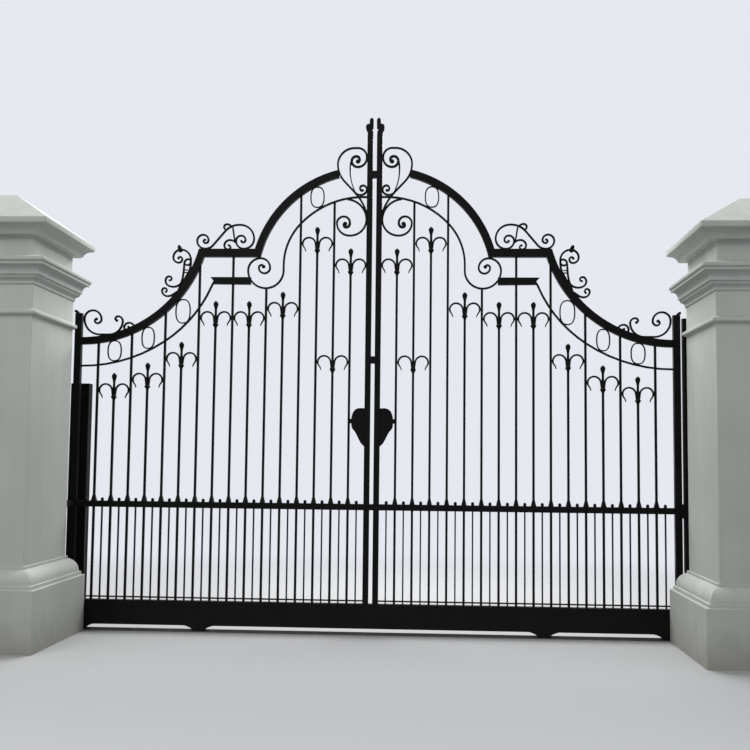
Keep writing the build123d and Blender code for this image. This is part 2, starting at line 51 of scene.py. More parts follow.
# %% Set the camera
MM = 0.001
CAMERA_AT = (530.8, -9366.5, 1517.2)
SENSOR, LENS, FARTHEST = 36.0, 51.33, 200.0
yaw, pitch, roll = -0.0544, 0.0782, 0.0109
look = Vector((sin(yaw) * cos(pitch), cos(yaw) * cos(pitch), sin(pitch)))
level = Vector((cos(yaw), -sin(yaw), 0.0))
over = level.cross(look)
right_axis = cos(roll) * level + sin(roll) * over
up_axis = -sin(roll) * level + cos(roll) * over
lens_data = bpy.data.cameras.new("driveway_camera")
lens_data.sensor_width = SENSOR
lens_data.lens = LENS
lens_data.clip_end = FARTHEST
camera = bpy.data.objects.new("driveway_camera", lens_data)
turn = Matrix((right_axis, up_axis, -look)).transposed().to_4x4()
camera.matrix_world = Matrix.Translation(Vector(CAMERA_AT) * MM) @ turn
bpy.context.scene.collection.objects.link(camera)
bpy.context.scene.camera = camera
print("camera at", [round(v, 2) for v in camera.location])

# %% [markdown]
# Every finish is built from shader nodes, so nothing depends on an image. Nodes can be placed by
# hand in the shader editor, but a script can be read, changed and run again. Small helpers keep it
# readable: they add a node with its settings, wire an output to an input, start a node group, do
# a sum and stretch a range of values.

# %% Helpers for shader nodes
def add_node(tree, kind, **settings):
    made = tree.nodes.new(kind)
    for name, value in settings.items():
        setattr(made, name, value)
    return made


def wire(tree, source, target):
    tree.links.new(source, target)


def new_effect(name, inputs, outputs):
    """A node group whose inputs are numbers with defaults and whose outputs are plain values."""
    group = bpy.data.node_groups.new(name, "ShaderNodeTree")
    for label, value in inputs.items():
        socket = group.interface.new_socket(label, in_out="INPUT", socket_type="NodeSocketFloat")
        socket.default_value = value
    for label in outputs:
        group.interface.new_socket(label, in_out="OUTPUT", socket_type="NodeSocketFloat")
    return group, add_node(group, "NodeGroupInput"), add_node(group, "NodeGroupOutput")


def math_node(tree, operation, first, second):
    """A Math node; each operand is a socket or a plain number."""
    made = add_node(tree, "ShaderNodeMath", operation=operation)
    for slot, value in zip(made.inputs, (first, second)):
        if isinstance(value, (int, float)):
            slot.default_value = value
        else:
            wire(tree, value, slot)
    return made.outputs[0]


def stretch(tree, value, low, high):
    """Maps low..high to 0..1, clamped."""
    made = add_node(tree, "ShaderNodeMapRange", clamp=True)
    wire(tree, value, made.inputs["Value"])
    made.inputs["From Min"].default_value = low
    made.inputs["From Max"].default_value = high
    return made.outputs["Result"]


print("node helpers ready")

# %% [markdown]
# Patches: paint and render are never one even tone. The tones could be painted on an image, but
# it would have to be wrapped round every bar. A soft noise, pulled to full contrast, needs no
# wrapping and gives a mask that other colours and the roughness can follow. It reads object
# coordinates, which on every piece here are metres, so its scale means the same on a bar and on
# a pillar.

# %% Effect: patches
patches, patches_in, patches_out = new_effect("soft_patches", {"Scale": 4.0}, ["Mask"])
place = add_node(patches, "ShaderNodeTexCoord")
cloud = add_node(patches, "ShaderNodeTexNoise")
cloud.inputs["Detail"].default_value = 5.0
cloud.inputs["Roughness"].default_value = 0.6
wire(patches, place.outputs["Object"], cloud.inputs["Vector"])
wire(patches, patches_in.outputs["Scale"], cloud.inputs["Scale"])
patchy = stretch(patches, cloud.outputs["Fac"], low=0.36, high=0.66)
wire(patches, patchy, patches_out.inputs["Mask"])
print("effect:", patches.name)

# %% [markdown]
# Settled dust: road dust lies on whatever faces up. It could be painted on to each ledge, but the
# geometry's own normal already says which way a surface faces, on every piece at once. A fine
# noise breaks the layer up so that it doesn't look sprayed on.

# %% Effect: settled dust
dust, dust_in, dust_out = new_effect("settled_dust", {"Amount": 0.5, "Grain": 60.0}, ["Mask"])
facing = add_node(dust, "ShaderNodeNewGeometry")
parts_of = add_node(dust, "ShaderNodeSeparateXYZ")
wire(dust, facing.outputs["Normal"], parts_of.inputs[0])
dust_place = add_node(dust, "ShaderNodeTexCoord")
specks = add_node(dust, "ShaderNodeTexNoise")
specks.inputs["Detail"].default_value = 3.0
wire(dust, dust_place.outputs["Object"], specks.inputs["Vector"])
wire(dust, dust_in.outputs["Grain"], specks.inputs["Scale"])
upward = stretch(dust, parts_of.outputs["Z"], low=0.25, high=0.95)
broken = stretch(dust, specks.outputs["Fac"], low=0.3, high=0.62)
layer = math_node(dust, "MULTIPLY", upward, broken)
wire(dust, math_node(dust, "MULTIPLY", layer, dust_in.outputs["Amount"]), dust_out.inputs["Mask"])
print("effect:", dust.name)

# %% [markdown]
# Rain marks: water runs straight down a wall and leaves grey streaks. A wave texture would draw
# them too evenly. The same noise as before does it once its height is squeezed, so each blob is
# drawn out into a long vertical mark.

# %% Effect: rain marks
marks, marks_in, marks_out = new_effect("rain_marks", {"Amount": 0.5, "Scale": 9.0}, ["Mask"])
marks_place = add_node(marks, "ShaderNodeTexCoord")
squeeze = add_node(marks, "ShaderNodeMapping")
squeeze.inputs["Scale"].default_value = (1.0, 1.0, 0.07)
streaks = add_node(marks, "ShaderNodeTexNoise")
streaks.inputs["Detail"].default_value = 6.0
wire(marks, marks_place.outputs["Object"], squeeze.inputs["Vector"])
wire(marks, squeeze.outputs["Vector"], streaks.inputs["Vector"])
wire(marks, marks_in.outputs["Scale"], streaks.inputs["Scale"])
run = stretch(marks, streaks.outputs["Fac"], low=0.45, high=0.75)
wire(marks, math_node(marks, "MULTIPLY", run, marks_in.outputs["Amount"]), marks_out.inputs["Mask"])
print("effect:", marks.name)

# %% [markdown]
# Splash: rain throws grit from the ground on to the lowest part of everything. A mask made from
# the height alone would end in a straight line, like a tide mark. So a noise is added to the
# height first: the mask is strongest at the ground and fades out near a height that each finish
# sets, with a ragged upper edge.

# %% Effect: splash from the ground
splash, splash_in, splash_out = new_effect(
    "ground_splash", {"Height": 0.5, "Amount": 0.5}, ["Mask"]
)
splash_place = add_node(splash, "ShaderNodeTexCoord")
splash_parts = add_node(splash, "ShaderNodeSeparateXYZ")
ragged = add_node(splash, "ShaderNodeTexNoise")
ragged.inputs["Scale"].default_value = 7.0
ragged.inputs["Detail"].default_value = 6.0
wire(splash, splash_place.outputs["Object"], splash_parts.inputs[0])
wire(splash, splash_place.outputs["Object"], ragged.inputs["Vector"])
share = math_node(splash, "DIVIDE", splash_parts.outputs["Z"], splash_in.outputs["Height"])
edge = math_node(splash, "SUBTRACT", ragged.outputs["Fac"], 0.5)
rough_share = math_node(splash, "ADD", share, edge)
fade = math_node(splash, "SUBTRACT", 1.0, stretch(splash, rough_share, low=0.0, high=1.0))
thrown_grit = math_node(splash, "MULTIPLY", fade, splash_in.outputs["Amount"])
wire(splash, thrown_grit, splash_out.inputs["Mask"])
print("effect:", splash.name)

# %% [markdown]
# Relief: one group gives the small heights that a Bump node turns into shading. Fine grain is
# brushed paint or sand, and the broad dents are hammer marks on forged bars or trowel marks. Such
# marks could be sculpted, but they are a few millimetres deep at most, so shading is enough and
# the meshes stay light.

# %% Effect: relief
relief, relief_in, relief_out = new_effect(
    "surface_relief",
    {"Grain Scale": 300.0, "Grain": 0.3, "Dent Scale": 40.0, "Dents": 0.5},
    ["Height"],
)
relief_place = add_node(relief, "ShaderNodeTexCoord")
grain = add_node(relief, "ShaderNodeTexNoise")
grain.inputs["Detail"].default_value = 2.0
dents = add_node(relief, "ShaderNodeTexVoronoi", feature="SMOOTH_F1")
for texture, label in ((grain, "Grain Scale"), (dents, "Dent Scale")):
    wire(relief, relief_place.outputs["Object"], texture.inputs["Vector"])
    wire(relief, relief_in.outputs[label], texture.inputs["Scale"])
fine = math_node(relief, "MULTIPLY", grain.outputs["Fac"], relief_in.outputs["Grain"])
broad = math_node(relief, "MULTIPLY", dents.outputs["Distance"], relief_in.outputs["Dents"])
wire(relief, math_node(relief, "ADD", fine, broad), relief_out.inputs["Height"])
print("effect:", relief.name)

# %% [markdown]
# A material places an effect like any other node, with its own values. The effect's nodes could
# be copied into each material, but then a change to the dust would have to be made in all of
# them. Five helpers do what every finish needs: start it, place an effect, lay a colour over
# another, turn a mask into a number, and turn heights into a bump.

# %% Helpers that place an effect in a material
def use_effect(tree, group, **values):
    made = add_node(tree, "ShaderNodeGroup", node_tree=group)
    for label, value in values.items():
        made.inputs[label.replace("_", " ")].default_value = value
    return made.outputs[0]


def layered(tree, base, over_colour, mask):
    """The base colour with another colour laid over it where the mask is high."""
    mix = add_node(tree, "ShaderNodeMix", data_type="RGBA")
    wire(tree, mask, mix.inputs[0])
    if isinstance(base, tuple):
        mix.inputs[6].default_value = (*base, 1.0)
    else:
        wire(tree, base, mix.inputs[6])
    mix.inputs[7].default_value = (*over_colour, 1.0)
    return mix.outputs[2]


def spread(tree, mask, low, high):
    """A number that runs from low to high with the mask."""
    made = add_node(tree, "ShaderNodeMapRange")
    wire(tree, mask, made.inputs["Value"])
    made.inputs["To Min"].default_value = low
    made.inputs["To Max"].default_value = high
    return made.outputs["Result"]


def new_finish(name):
    finish = bpy.data.materials.new(name)
    finish.use_nodes = True
    return finish, finish.node_tree, finish.node_tree.nodes["Principled BSDF"]


def add_bump(tree, shader, height, strength, distance):
    bump = add_node(tree, "ShaderNodeBump")
    bump.inputs["Strength"].default_value = strength
    bump.inputs["Distance"].default_value = distance
    wire(tree, height, bump.inputs["Height"])
    wire(tree, bump.outputs["Normal"], shader.inputs["Normal"])


print("material helpers ready")

# %% [markdown]
# Gate paint is a satin black enamel over iron. On drawn bars it is smooth with a little brush
# grain; on the scrolls it follows the hammer marks of the forge; on the beam it is dull with
# grit, and on the posts it has weathered most. One black material for everything would look
# stamped out close by, and four unlike ones would look repainted. So one function makes all four,
# with different values, and they read as the same paint.

# %% Finish: black gate paint
PAINT = (0.0026, 0.0026, 0.0031)
PAINT_WORN = (0.0075, 0.0072, 0.0070)
ROAD_DUST = (0.060, 0.053, 0.044)
WORN_SHARE = 0.35
WORN_DULLER_BY = 0.26


def gate_paint(name, dents, dust_amount, splash_amount, satin=0.36):
    finish, tree, shader = new_finish(name)
    worn = use_effect(tree, patches, Scale=3.0)
    lying = use_effect(tree, dust, Amount=dust_amount, Grain=70.0)
    thrown = use_effect(tree, splash, Height=0.42, Amount=splash_amount)
    colour = layered(tree, PAINT, PAINT_WORN, math_node(tree, "MULTIPLY", worn, WORN_SHARE))
    colour = layered(tree, colour, ROAD_DUST, lying)
    colour = layered(tree, colour, ROAD_DUST, thrown)
    wire(tree, colour, shader.inputs["Base Color"])
    dull = math_node(tree, "MAXIMUM", math_node(tree, "MAXIMUM", worn, lying), thrown)
    rough = spread(tree, dull, low=satin, high=satin + WORN_DULLER_BY)
    wire(tree, rough, shader.inputs["Roughness"])
    shader.inputs["Metallic"].default_value = 0.0
    shader.inputs["Specular IOR Level"].default_value = 0.09
    height = use_effect(tree, relief, Grain_Scale=420.0, Grain=0.25, Dent_Scale=46.0, Dents=dents)
    add_bump(tree, shader, height, strength=0.5, distance=0.0012)
    return finish


bar_paint = gate_paint("gate_paint_bars", dents=0.12, dust_amount=0.08, splash_amount=0.05)
forged_paint = gate_paint("gate_paint_forged", dents=0.95, dust_amount=0.06, splash_amount=0.0)
beam_paint = gate_paint("gate_paint_beam", dents=0.10, dust_amount=0.26, splash_amount=0.10)
post_paint = gate_paint(
    "gate_paint_posts", dents=0.20, dust_amount=0.16, splash_amount=0.12, satin=0.62
)
print("paints:", bar_paint.name, forged_paint.name, beam_paint.name, post_paint.name)

# %% [markdown]
# The pillars are smooth rendered masonry under white masonry paint. The colour could simply be
# white, but pure white loses its form where light falls on it. So the base is a light grey, and
# the marks of weather are laid over it one by one: rain marks down the faces, greyer upper
# ledges, and grit that has darkened the plinths.

# %% Finish: painted render
RENDER_WHITE = (0.53, 0.545, 0.505)
RENDER_SHADE = (0.455, 0.47, 0.43)
RAIN_GREY = (0.30, 0.31, 0.27)
LEDGE_GREY = (0.36, 0.37, 0.33)
GRIT = (0.22, 0.20, 0.155)
SHADE_SHARE = 0.55


def painted_render(name, streak_amount, ledge_amount, grit_amount):
    finish, tree, shader = new_finish(name)
    tone = use_effect(tree, patches, Scale=1.3)
    wet = use_effect(tree, marks, Amount=streak_amount, Scale=9.0)
    lying = use_effect(tree, dust, Amount=ledge_amount, Grain=16.0)
    thrown = use_effect(tree, splash, Height=0.30, Amount=grit_amount)
    shaded = math_node(tree, "MULTIPLY", tone, SHADE_SHARE)
    colour = layered(tree, RENDER_WHITE, RENDER_SHADE, shaded)
    colour = layered(tree, colour, RAIN_GREY, wet)
    colour = layered(tree, colour, LEDGE_GREY, lying)
    colour = layered(tree, colour, GRIT, thrown)
    wire(tree, colour, shader.inputs["Base Color"])
    wire(tree, spread(tree, tone, low=0.72, high=0.90), shader.inputs["Roughness"])
    shader.inputs["Specular IOR Level"].default_value = 0.3
    height = use_effect(tree, relief, Grain_Scale=230.0, Grain=0.55, Dent_Scale=5.0, Dents=1.6)
    add_bump(tree, shader, height, strength=0.35, distance=0.003)
    return finish


wall_render = painted_render(
    "painted_render_walls", streak_amount=0.13, ledge_amount=0.0, grit_amount=0.0
)
ledge_render = painted_render(
    "painted_render_mouldings", streak_amount=0.18, ledge_amount=0.30, grit_amount=0.0
)
cap_render = painted_render(
    "painted_render_caps", streak_amount=0.14, ledge_amount=0.22, grit_amount=0.0
)
plinth_render = painted_render(
    "painted_render_plinths", streak_amount=0.15, ledge_amount=0.30, grit_amount=0.42
)
print("renders:", wall_render.name, ledge_render.name, cap_render.name, plinth_render.name)

# %% [markdown]
# The track is bare galvanised steel, dull with road film and rusting in patches. The wheels are
# turned steel, brighter and smoother, and the guide shoes are black nylon. Metallic could be a
# plain 1 for steel, but rust and dust aren't metal, so here it falls where they lie.

# %% Finish: track steel, wheel steel and nylon
RUST = (0.060, 0.030, 0.017)
NYLON, NYLON_SCUFFED = (0.035, 0.035, 0.035), (0.11, 0.11, 0.105)


def bare_steel(name, tone, rust_amount, rough):
    finish, tree, shader = new_finish(name)
    rust = math_node(tree, "MULTIPLY", use_effect(tree, patches, Scale=9.0), rust_amount)
    lying = use_effect(tree, dust, Amount=0.45, Grain=90.0)
    colour = layered(tree, tone, RUST, rust)
    colour = layered(tree, colour, ROAD_DUST, lying)
    wire(tree, colour, shader.inputs["Base Color"])
    film = math_node(tree, "MAXIMUM", rust, lying)
    wire(tree, spread(tree, film, low=rough, high=0.85), shader.inputs["Roughness"])
    wire(tree, spread(tree, film, low=0.95, high=0.15), shader.inputs["Metallic"])
    height = use_effect(tree, relief, Grain_Scale=500.0, Grain=0.5, Dent_Scale=120.0, Dents=0.3)
    add_bump(tree, shader, height, strength=0.4, distance=0.0008)
    return finish


track_steel = bare_steel(
    "weathered_track_steel", (0.115, 0.112, 0.108), rust_amount=0.45, rough=0.48
)
wheel_steel = bare_steel("turned_wheel_steel", (0.45, 0.44, 0.43), rust_amount=0.30, rough=0.28)
nylon, nylon_tree, nylon_shader = new_finish("guide_nylon")
scuffed = use_effect(nylon_tree, patches, Scale=40.0)
nylon_colour = layered(nylon_tree, NYLON, NYLON_SCUFFED, scuffed)
wire(nylon_tree, nylon_colour, nylon_shader.inputs["Base Color"])
wire(nylon_tree, spread(nylon_tree, scuffed, low=0.45, high=0.7), nylon_shader.inputs["Roughness"])
print("steels and nylon ready")

# %% [markdown]
# The straight ironwork, the posts and the track are already right in the measured model: square
# bars with crisp edges. They could be made again with small bevels, but on bars this thin a bevel
# hardly shows from the driveway. So they keep their solids and only receive a finish.

# %% Give the plain bars their finish
kept_solids = (
    (beam_paint, ("bottom_beam", "sill_bars")),
    (bar_paint, ("mid_rail", "centre_stiles", "end_stiles", "top_rails", "shoulder_stubs",
                 "lower_pickets", "dog_bars", "tall_pickets", "spear_pickets", "tie_blocks",
                 "picket_collars")),
    (post_paint, ("guide_post", "guide_arms", "catch_post", "end_stop")),
    (track_steel, ("ground_track",)),
    (nylon, ("guide_shoes",)),
)
for finish, node_names in kept_solids:
    for node_name in node_names:
        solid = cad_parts[node_name]
        solid.data.materials.clear()
        solid.data.materials.append(finish)
print("finished", sum(len(node_names) for _, node_names in kept_solids), "nodes in place")

# %% [markdown]
# New pieces are lists of corners and faces. A mesh can also be grown from primitives and
# modifiers, but from_pydata takes any list, with no modes or selections to keep in order. One
# helper turns such a list into an object, shades it smooth except at real edges, gives it its
# finish and lets it ride on its body. It also hides the solids of the measured model that the
# piece stands for.

# %% Helper: make a piece
def make_piece(name, points, faces, finish, body, slot, *stands_for, edge=35.0):
    mesh = bpy.data.meshes.new(name)
    mesh.from_pydata([tuple(p) for p in points], [], faces)
    mesh.validate()
    mesh.update()
    mesh.shade_smooth()
    mesh.set_sharp_from_angle(angle=radians(edge))
    mesh.materials.append(finish)
    piece = bpy.data.objects.new(name, mesh)
    bpy.context.scene.collection.objects.link(piece)
    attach(piece, body)
    if stands_for:
        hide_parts(*stands_for)
    print(name, len(mesh.polygons), "faces")
    return piece


print("piece helper ready")

# %% [markdown]
# Most pieces here grow ring by ring: a bar is many sections in a row, a turned part is many
# circles, a moulding many squares. Curves with a bevel could make some of them, but rings may all
# differ, so a Shape collects them and skins them. The two halves of the leaf mirror each other,
# so its ironwork is made once, for the right half.

# %% Helper: grow a shape
class Shape:
    """Corners and faces that grow as parts are added, with a mirrored copy on request."""

    def __init__(self):
        self.points, self.faces = [], []

    def add(self, points, faces):
        start = len(self.points)
        self.points += [tuple(p) for p in points]
        self.faces += [tuple(i + start for i in face) for face in faces]

    def mirror(self):
        points = [(-x, y, z) for x, y, z in self.points]
        faces = [tuple(reversed(face)) for face in self.faces]
        self.add(points, faces)

    def rings(self, rings, closed=False):
        """Skin between rings of the same number of corners; open ends get a cap."""
        count = len(rings[0])
        points = [p for ring in rings for p in ring]
        faces = []
        last = len(rings) if closed else len(rings) - 1
        for r in range(last):
            s = (r + 1) % len(rings)
            for i in range(count):
                j = (i + 1) % count
                faces.append((r * count + i, r * count + j, s * count + j, s * count + i))
        if not closed:
            faces.append(tuple(reversed(range(count))))
            faces.append(tuple(range((len(rings) - 1) * count, len(rings) * count)))
        self.add(points, faces)


def hang_on_leaf(name, shape, finish, stands_for):
    """Mirrors a shape made for the right half of the leaf and hangs both halves on it."""
    shape.mirror()
    return make_piece(name, shape.points, shape.faces, finish, "leaf", "black_iron", stands_for)


print("shape helpers ready")

# %% [markdown]
# Scrolls are flat bars bent round a former. They could be drawn as Bezier curves by eye, but a
# smith reads such a scroll as a list of bends, and so does this helper: it walks forward, turning
# by an angle on a radius, and notes its place and heading every few degrees. Each bend takes over
# the heading of the last one, so the bar can't kink. A bar's section, with its edges rounded, can
# stand at each place.

# %% Helper: walk along a bent bar
def walk(start, heading, moves, step=5.0):
    """Places (x, z, heading) along a bent bar, in millimetres and degrees. Each move is a bend
    and its radius; a bend of 0 is a straight run and its length."""
    x, z = start
    angle = heading
    stops = [(x, z, angle)]
    for bend, size in moves:
        if bend == 0:
            x += size * cos(radians(angle))
            z += size * sin(radians(angle))
            stops.append((x, z, angle))
            continue
        side = 1 if bend > 0 else -1
        cx = x - side * size * sin(radians(angle))
        cz = z + side * size * cos(radians(angle))
        count = max(1, round(abs(bend) / step))
        for i in range(1, count + 1):
            there = angle + bend * i / count
            x = cx + side * size * sin(radians(there))
            z = cz - side * size * cos(radians(there))
            stops.append((x, z, there))
        angle += bend
    return stops


def bar_section(stop, thick, deep, soft=1.8):
    """The eight corners of a bar's section, in the plane across its path."""
    x, z, angle = stop
    nx, nz = -sin(radians(angle)), cos(radians(angle))
    a, b = thick / 2, deep / 2
    soft = min(soft, a * 0.6)
    outline = [(-a, -b + soft), (-a, b - soft), (-a + soft, b), (a - soft, b),
               (a, b - soft), (a, -b + soft), (a - soft, -b), (-a + soft, -b)]
    return [((x + u * nx) * MM, v * MM, (z + u * nz) * MM) for u, v in outline]


print("a quarter turn is noted at", len(walk((0, 0), 0, [(90, 100)])), "places")

# %% [markdown]
# A forged bar isn't the same all along. Some are drawn out thin towards the end, others end in a
# hammered ball, and the heart's bars swell into their coils. A curve with a taper object could do
# this, but the ball would then be fitted by hand. The next helper carries a section along the
# walk, changes its thickness on the way and sets the ball where the walk ends.

# %% Helper: bend a bar
def ball(shape, x, z, radius, half_deep, rows=8, sides=16, pole=0.4):
    """A forged ball end: a short drum with rounded cheeks, across the leaf."""
    rings = []
    for i in range(rows + 1):
        slope = -pi / 2 + pi * i / rows
        r, y = max(radius * cos(slope), pole), half_deep * sin(slope)
        rings.append([((x + r * cos(t)) * MM, y * MM, (z + r * sin(t)) * MM)
                      for t in (2 * pi * k / sides for k in range(sides))])
    shape.rings(rings)


def bend_bar(shape, start, heading, moves, thick, deep, knob=0.0,
             taper_from=1.0, taper_to=1.0, tip=1.0, root=1.0, root_to=0.04):
    """Adds a bent bar to a shape. It starts root times its thickness, which it reaches at the
    share root_to of its steps. From taper_from to taper_to it changes to tip times itself.
    The depth follows half of each change."""
    stops = walk(start, heading, moves)
    rings = []
    for i, stop in enumerate(stops):
        share = i / (len(stops) - 1)
        thin = 1.0
        if share < root_to:
            thin = root + (1.0 - root) * share / root_to
        if share > taper_from:
            thin = 1.0 + (tip - 1.0) * min(1.0, (share - taper_from) / (taper_to - taper_from))
        rings.append(bar_section(stop, thick * thin, deep * (0.5 + 0.5 * thin)))
    shape.rings(rings)
    if knob:
        ball(shape, stops[-1][0], stops[-1][1], knob, deep / 2 + 2)


def volute(radii, way=1):
    return [(way * 90, r) for r in radii]


THICK, THIN = 17.0, 9.5
DEEP, BAND_DEEP, RING_DEEP = 20.0, 22.0, 16.0
print("bar bending ready")

# %% [markdown]
# The heart beside the seam: a bar rises from the stile, passes the inner band and the crest of
# the arch, and rolls back over itself. A thinner leaf scroll hangs from its coil. Drawn freehand,
# such coils soon look limp. Here the radii shrink from quarter turn to quarter turn, as they do
# when a bar is rolled up on the anvil.

# %% Heart scrolls
heart = Shape()
bend_bar(
    heart, (63, 3678), 72,
    [(0, 30), (-25, 485), (0, 133), (43, 230), (90, 148), (0, 30), (90, 79), (0, 15)]
    + volute([79, 55, 42, 30, 16]),
    THICK, DEEP, knob=21, taper_from=0.40, taper_to=0.58, tip=1.3,
)
bend_bar(
    heart, (215, 4160), -81, [(-34, 455), (-107, 59)] + volute([43, 29, 25, 11], -1),
    THIN, DEEP, knob=14, taper_from=0.07, taper_to=0.24, tip=1.75, root=1.8, root_to=0.045,
)
hang_on_leaf("scroll_hearts", heart, forged_paint, "heart_scrolls")

# %% [markdown]
# The inner band springs from the stile, follows the arch at a distance and ends in the largest
# scroll of the gate. A second scroll turns back under its crest. The lower band runs from the end
# stile under the sweep of the top rail. Band and scroll could be two objects that meet, but the
# real bar is one piece, so one walk makes both.

# %% Inner bands and the scrolls under them
band = Shape()
bend_bar(
    band, (60, 3842.6), 2.7,
    [(0, 7), (-50, 760), (-42.7, 540), (0, 54)] + volute([158, 160, 110, 86, 50, 50, 26, 16]),
    THICK, BAND_DEEP, knob=17, taper_from=0.85, tip=0.75,
)
hang_on_leaf("band_inner", band, forged_paint, "inner_bands")
under = Shape()
bend_bar(
    under, (242, 3823.6), 185,
    [(85, 187), (90, 142), (0, 8), (90, 112), (90, 60), (90, 55), (0, 8)] + volute([34, 20, 12]),
    THICK, DEEP, knob=20, taper_from=0.5, taper_to=0.66, tip=1.3,
)
hang_on_leaf("scroll_under_band", under, forged_paint, "under_scrolls")
low = Shape()
bend_bar(
    low, (2616, 2318), 180.5, [(0, 6), (-34, 1332), (-33.5, 1128), (0, 24)], THICK, BAND_DEEP
)
hang_on_leaf("band_lower", low, forged_paint, "lower_bands")

# %% [markdown]
# The crest on the shoulder is an S laid on its side: one end coils up from the rail, the bar
# climbs over, runs down and coils again by the corner. Smaller curls fill the space between. The
# S could be walked from end to end, but then a change to one coil would move the other. Two walks
# start back to back beside the first coil instead, so each end is set by itself.

# %% Shoulder crests
crest = Shape()
bend_bar(
    crest, (1075, 3466), 90,
    [(-90, 127), (0, 10), (-50, 165), (0, 163), (50, 90), (0, 4)]
    + volute([72, 54, 48, 27, 18, 12]),
    THICK, DEEP, knob=12.5, taper_from=0.8, tip=0.8,
)
bend_bar(
    crest, (1075, 3466), 270, volute([90, 72, 47, 38, 24, 13]),
    THICK, DEEP, knob=12.5, taper_from=0.7, tip=0.8,
)
bend_bar(
    crest, (1236, 3429), 48, [(-42, 80)] + volute([50, 37, 21, 17], -1),
    THICK, DEEP, knob=12, taper_from=0.6, tip=0.8,
)
bend_bar(crest, (1247, 3436), 81, [(0, 134)], thick=14, deep=DEEP)
bend_bar(
    crest, (1277, 3572), 63, [(-66, 49)] + volute([26, 23, 14], -1),
    THICK, DEEP, knob=10, taper_from=0.5, tip=0.75,
)
hang_on_leaf("crest_shoulder", crest, forged_paint, "shoulder_crests")

# %% [markdown]
# A closed leaf bud stands among the bars of the sweep's crest. It could be a stretched ball, but a
# bud is fullest near its foot. So the same bar section is set at a few shares of its length, each
# with its own share of the full width.

# %% Helper: a closed leaf bud
BUD = [(0.0, 0.45), (0.05, 0.75), (0.14, 0.96), (0.28, 1.0), (0.45, 0.97), (0.62, 0.88),
       (0.76, 0.77), (0.87, 0.63), (0.94, 0.47), (0.985, 0.27), (1.0, 0.08)]


def leaf_bud(shape, start, heading, long, wide, deep):
    """A closed leaf bud standing on a bar: broad near its foot, narrowing to a rounded tip."""
    rings = []
    for share, full in BUD:
        x = start[0] + long * share * cos(radians(heading))
        z = start[1] + long * share * sin(radians(heading))
        rings.append(bar_section((x, z, heading), wide * full, max(deep * full, 3.0), soft=4.0))
    shape.rings(rings)


print("bud helper ready,", len(BUD), "sections")

# %% [markdown]
# Two more groups stand on the sweep of the top rail: an upright cluster with a closed leaf bud
# near the shoulder, and a wide C whose two coils face each other beside the end stile. Where a
# bar meets the rail it could be cut to fit with a Boolean. It runs a little way in instead, as a
# weld does, which keeps its faces clean.

# %% Sweep crests and end scrolls
cluster = Shape()
bend_bar(
    cluster, (1716, 3057), 118,
    [(0, 110), (-28, 200), (0, 28)] + volute([92, 68, 50, 31, 22, 12], -1),
    THICK, DEEP, knob=12.5, taper_from=0.7, tip=0.8,
)
bend_bar(
    cluster, (1747, 3000), 109, [(0, 68), (-15, 370), (0, 90)] + volute([35, 23, 31]) + [(85, 26)],
    THICK, DEEP, taper_from=0.75, tip=0.75,
)
bend_bar(
    cluster, (1723, 3066), -51, [(81, 93), (90, 49), (90, 29), (90, 17), (60, 17)],
    THICK, DEEP, knob=11, taper_from=0.6, tip=0.8,
)
bend_bar(
    cluster, (1757, 2989), -35, [(0, 45), (30, 93), (90, 52), (90, 24), (90, 19), (60, 18)],
    THICK, DEEP, knob=11, taper_from=0.6, tip=0.8,
)
for x, z in ((1668, 3184), (1672, 3161)):
    bend_bar(cluster, (x, z), 0, [(0, 34)], thick=9, deep=DEEP)
leaf_bud(cluster, (1732, 3345), heading=70, long=70, wide=40, deep=DEEP)
hang_on_leaf("crest_sweep", cluster, forged_paint, "sweep_crests")
wide = Shape()
bend_bar(
    wide, (2400, 2600), 0, [(0, 49), (90, 143), (90, 74), (90, 80), (90, 36), (90, 24), (90, 14)],
    THICK, DEEP, knob=15, taper_from=0.75, tip=0.8,
)
bend_bar(
    wide, (2400, 2600), 180, [(0, 36)] + volute([120, 44, 24, 14], -1),
    THICK, DEEP, knob=13.5, taper_from=0.7, tip=0.8,
)
bend_bar(
    wide, (2138, 2676), 62, [(-62, 56)] + volute([42, 30, 22, 14], -1),
    THICK, DEEP, knob=11, taper_from=0.6, tip=0.8,
)
hang_on_leaf("scroll_ends", wide, forged_paint, "end_scrolls")

# %% [markdown]
# Ovals are rings forged from light bar and squeezed between rail and band, which leaves their
# sides flatter than an ellipse's. A stretched torus would be quicker, but it would thin the bar
# and round the sides. Raising the sine and cosine to a power below one gives the right shape; the
# heading at each place comes from its two neighbours.

# %% Oval rings
RING_BAR, FLATTER, RING_STEPS = 11.0, 0.80, 48
OVALS = ((511, 3843, 129, 195), (1701, 2811, 139, 222), (2010, 2571, 122, 199),
         (2310, 2454, 130, 190))
ovals = Shape()
for x, z, wide_by, high_by in OVALS:
    a, b = (wide_by - RING_BAR) / 2, (high_by - RING_BAR) / 2
    path = []
    for i in range(RING_STEPS):
        t = 2 * pi * (i + 0.5) / RING_STEPS
        path.append((x + a * copysign(abs(cos(t)) ** FLATTER, cos(t)),
                     z + b * copysign(abs(sin(t)) ** FLATTER, sin(t))))
    rings = []
    for i, (px, pz) in enumerate(path):
        (x1, z1), (x2, z2) = path[i - 1], path[(i + 1) % RING_STEPS]
        heading = degrees(atan2(z2 - z1, x2 - x1))
        rings.append(bar_section((px, pz, heading), RING_BAR, RING_DEEP))
    ovals.rings(rings, closed=True)
hang_on_leaf("rings_oval", ovals, forged_paint, "oval_rings")

# %% [markdown]
# Each short picket ends in a spear: a moulded collar, a slim neck and a pear-shaped point, cast
# in one piece. Turned parts like this are a profile carried round an upright axis. The Screw
# modifier does that too, but for one object at a time; this helper adds many to one shape.

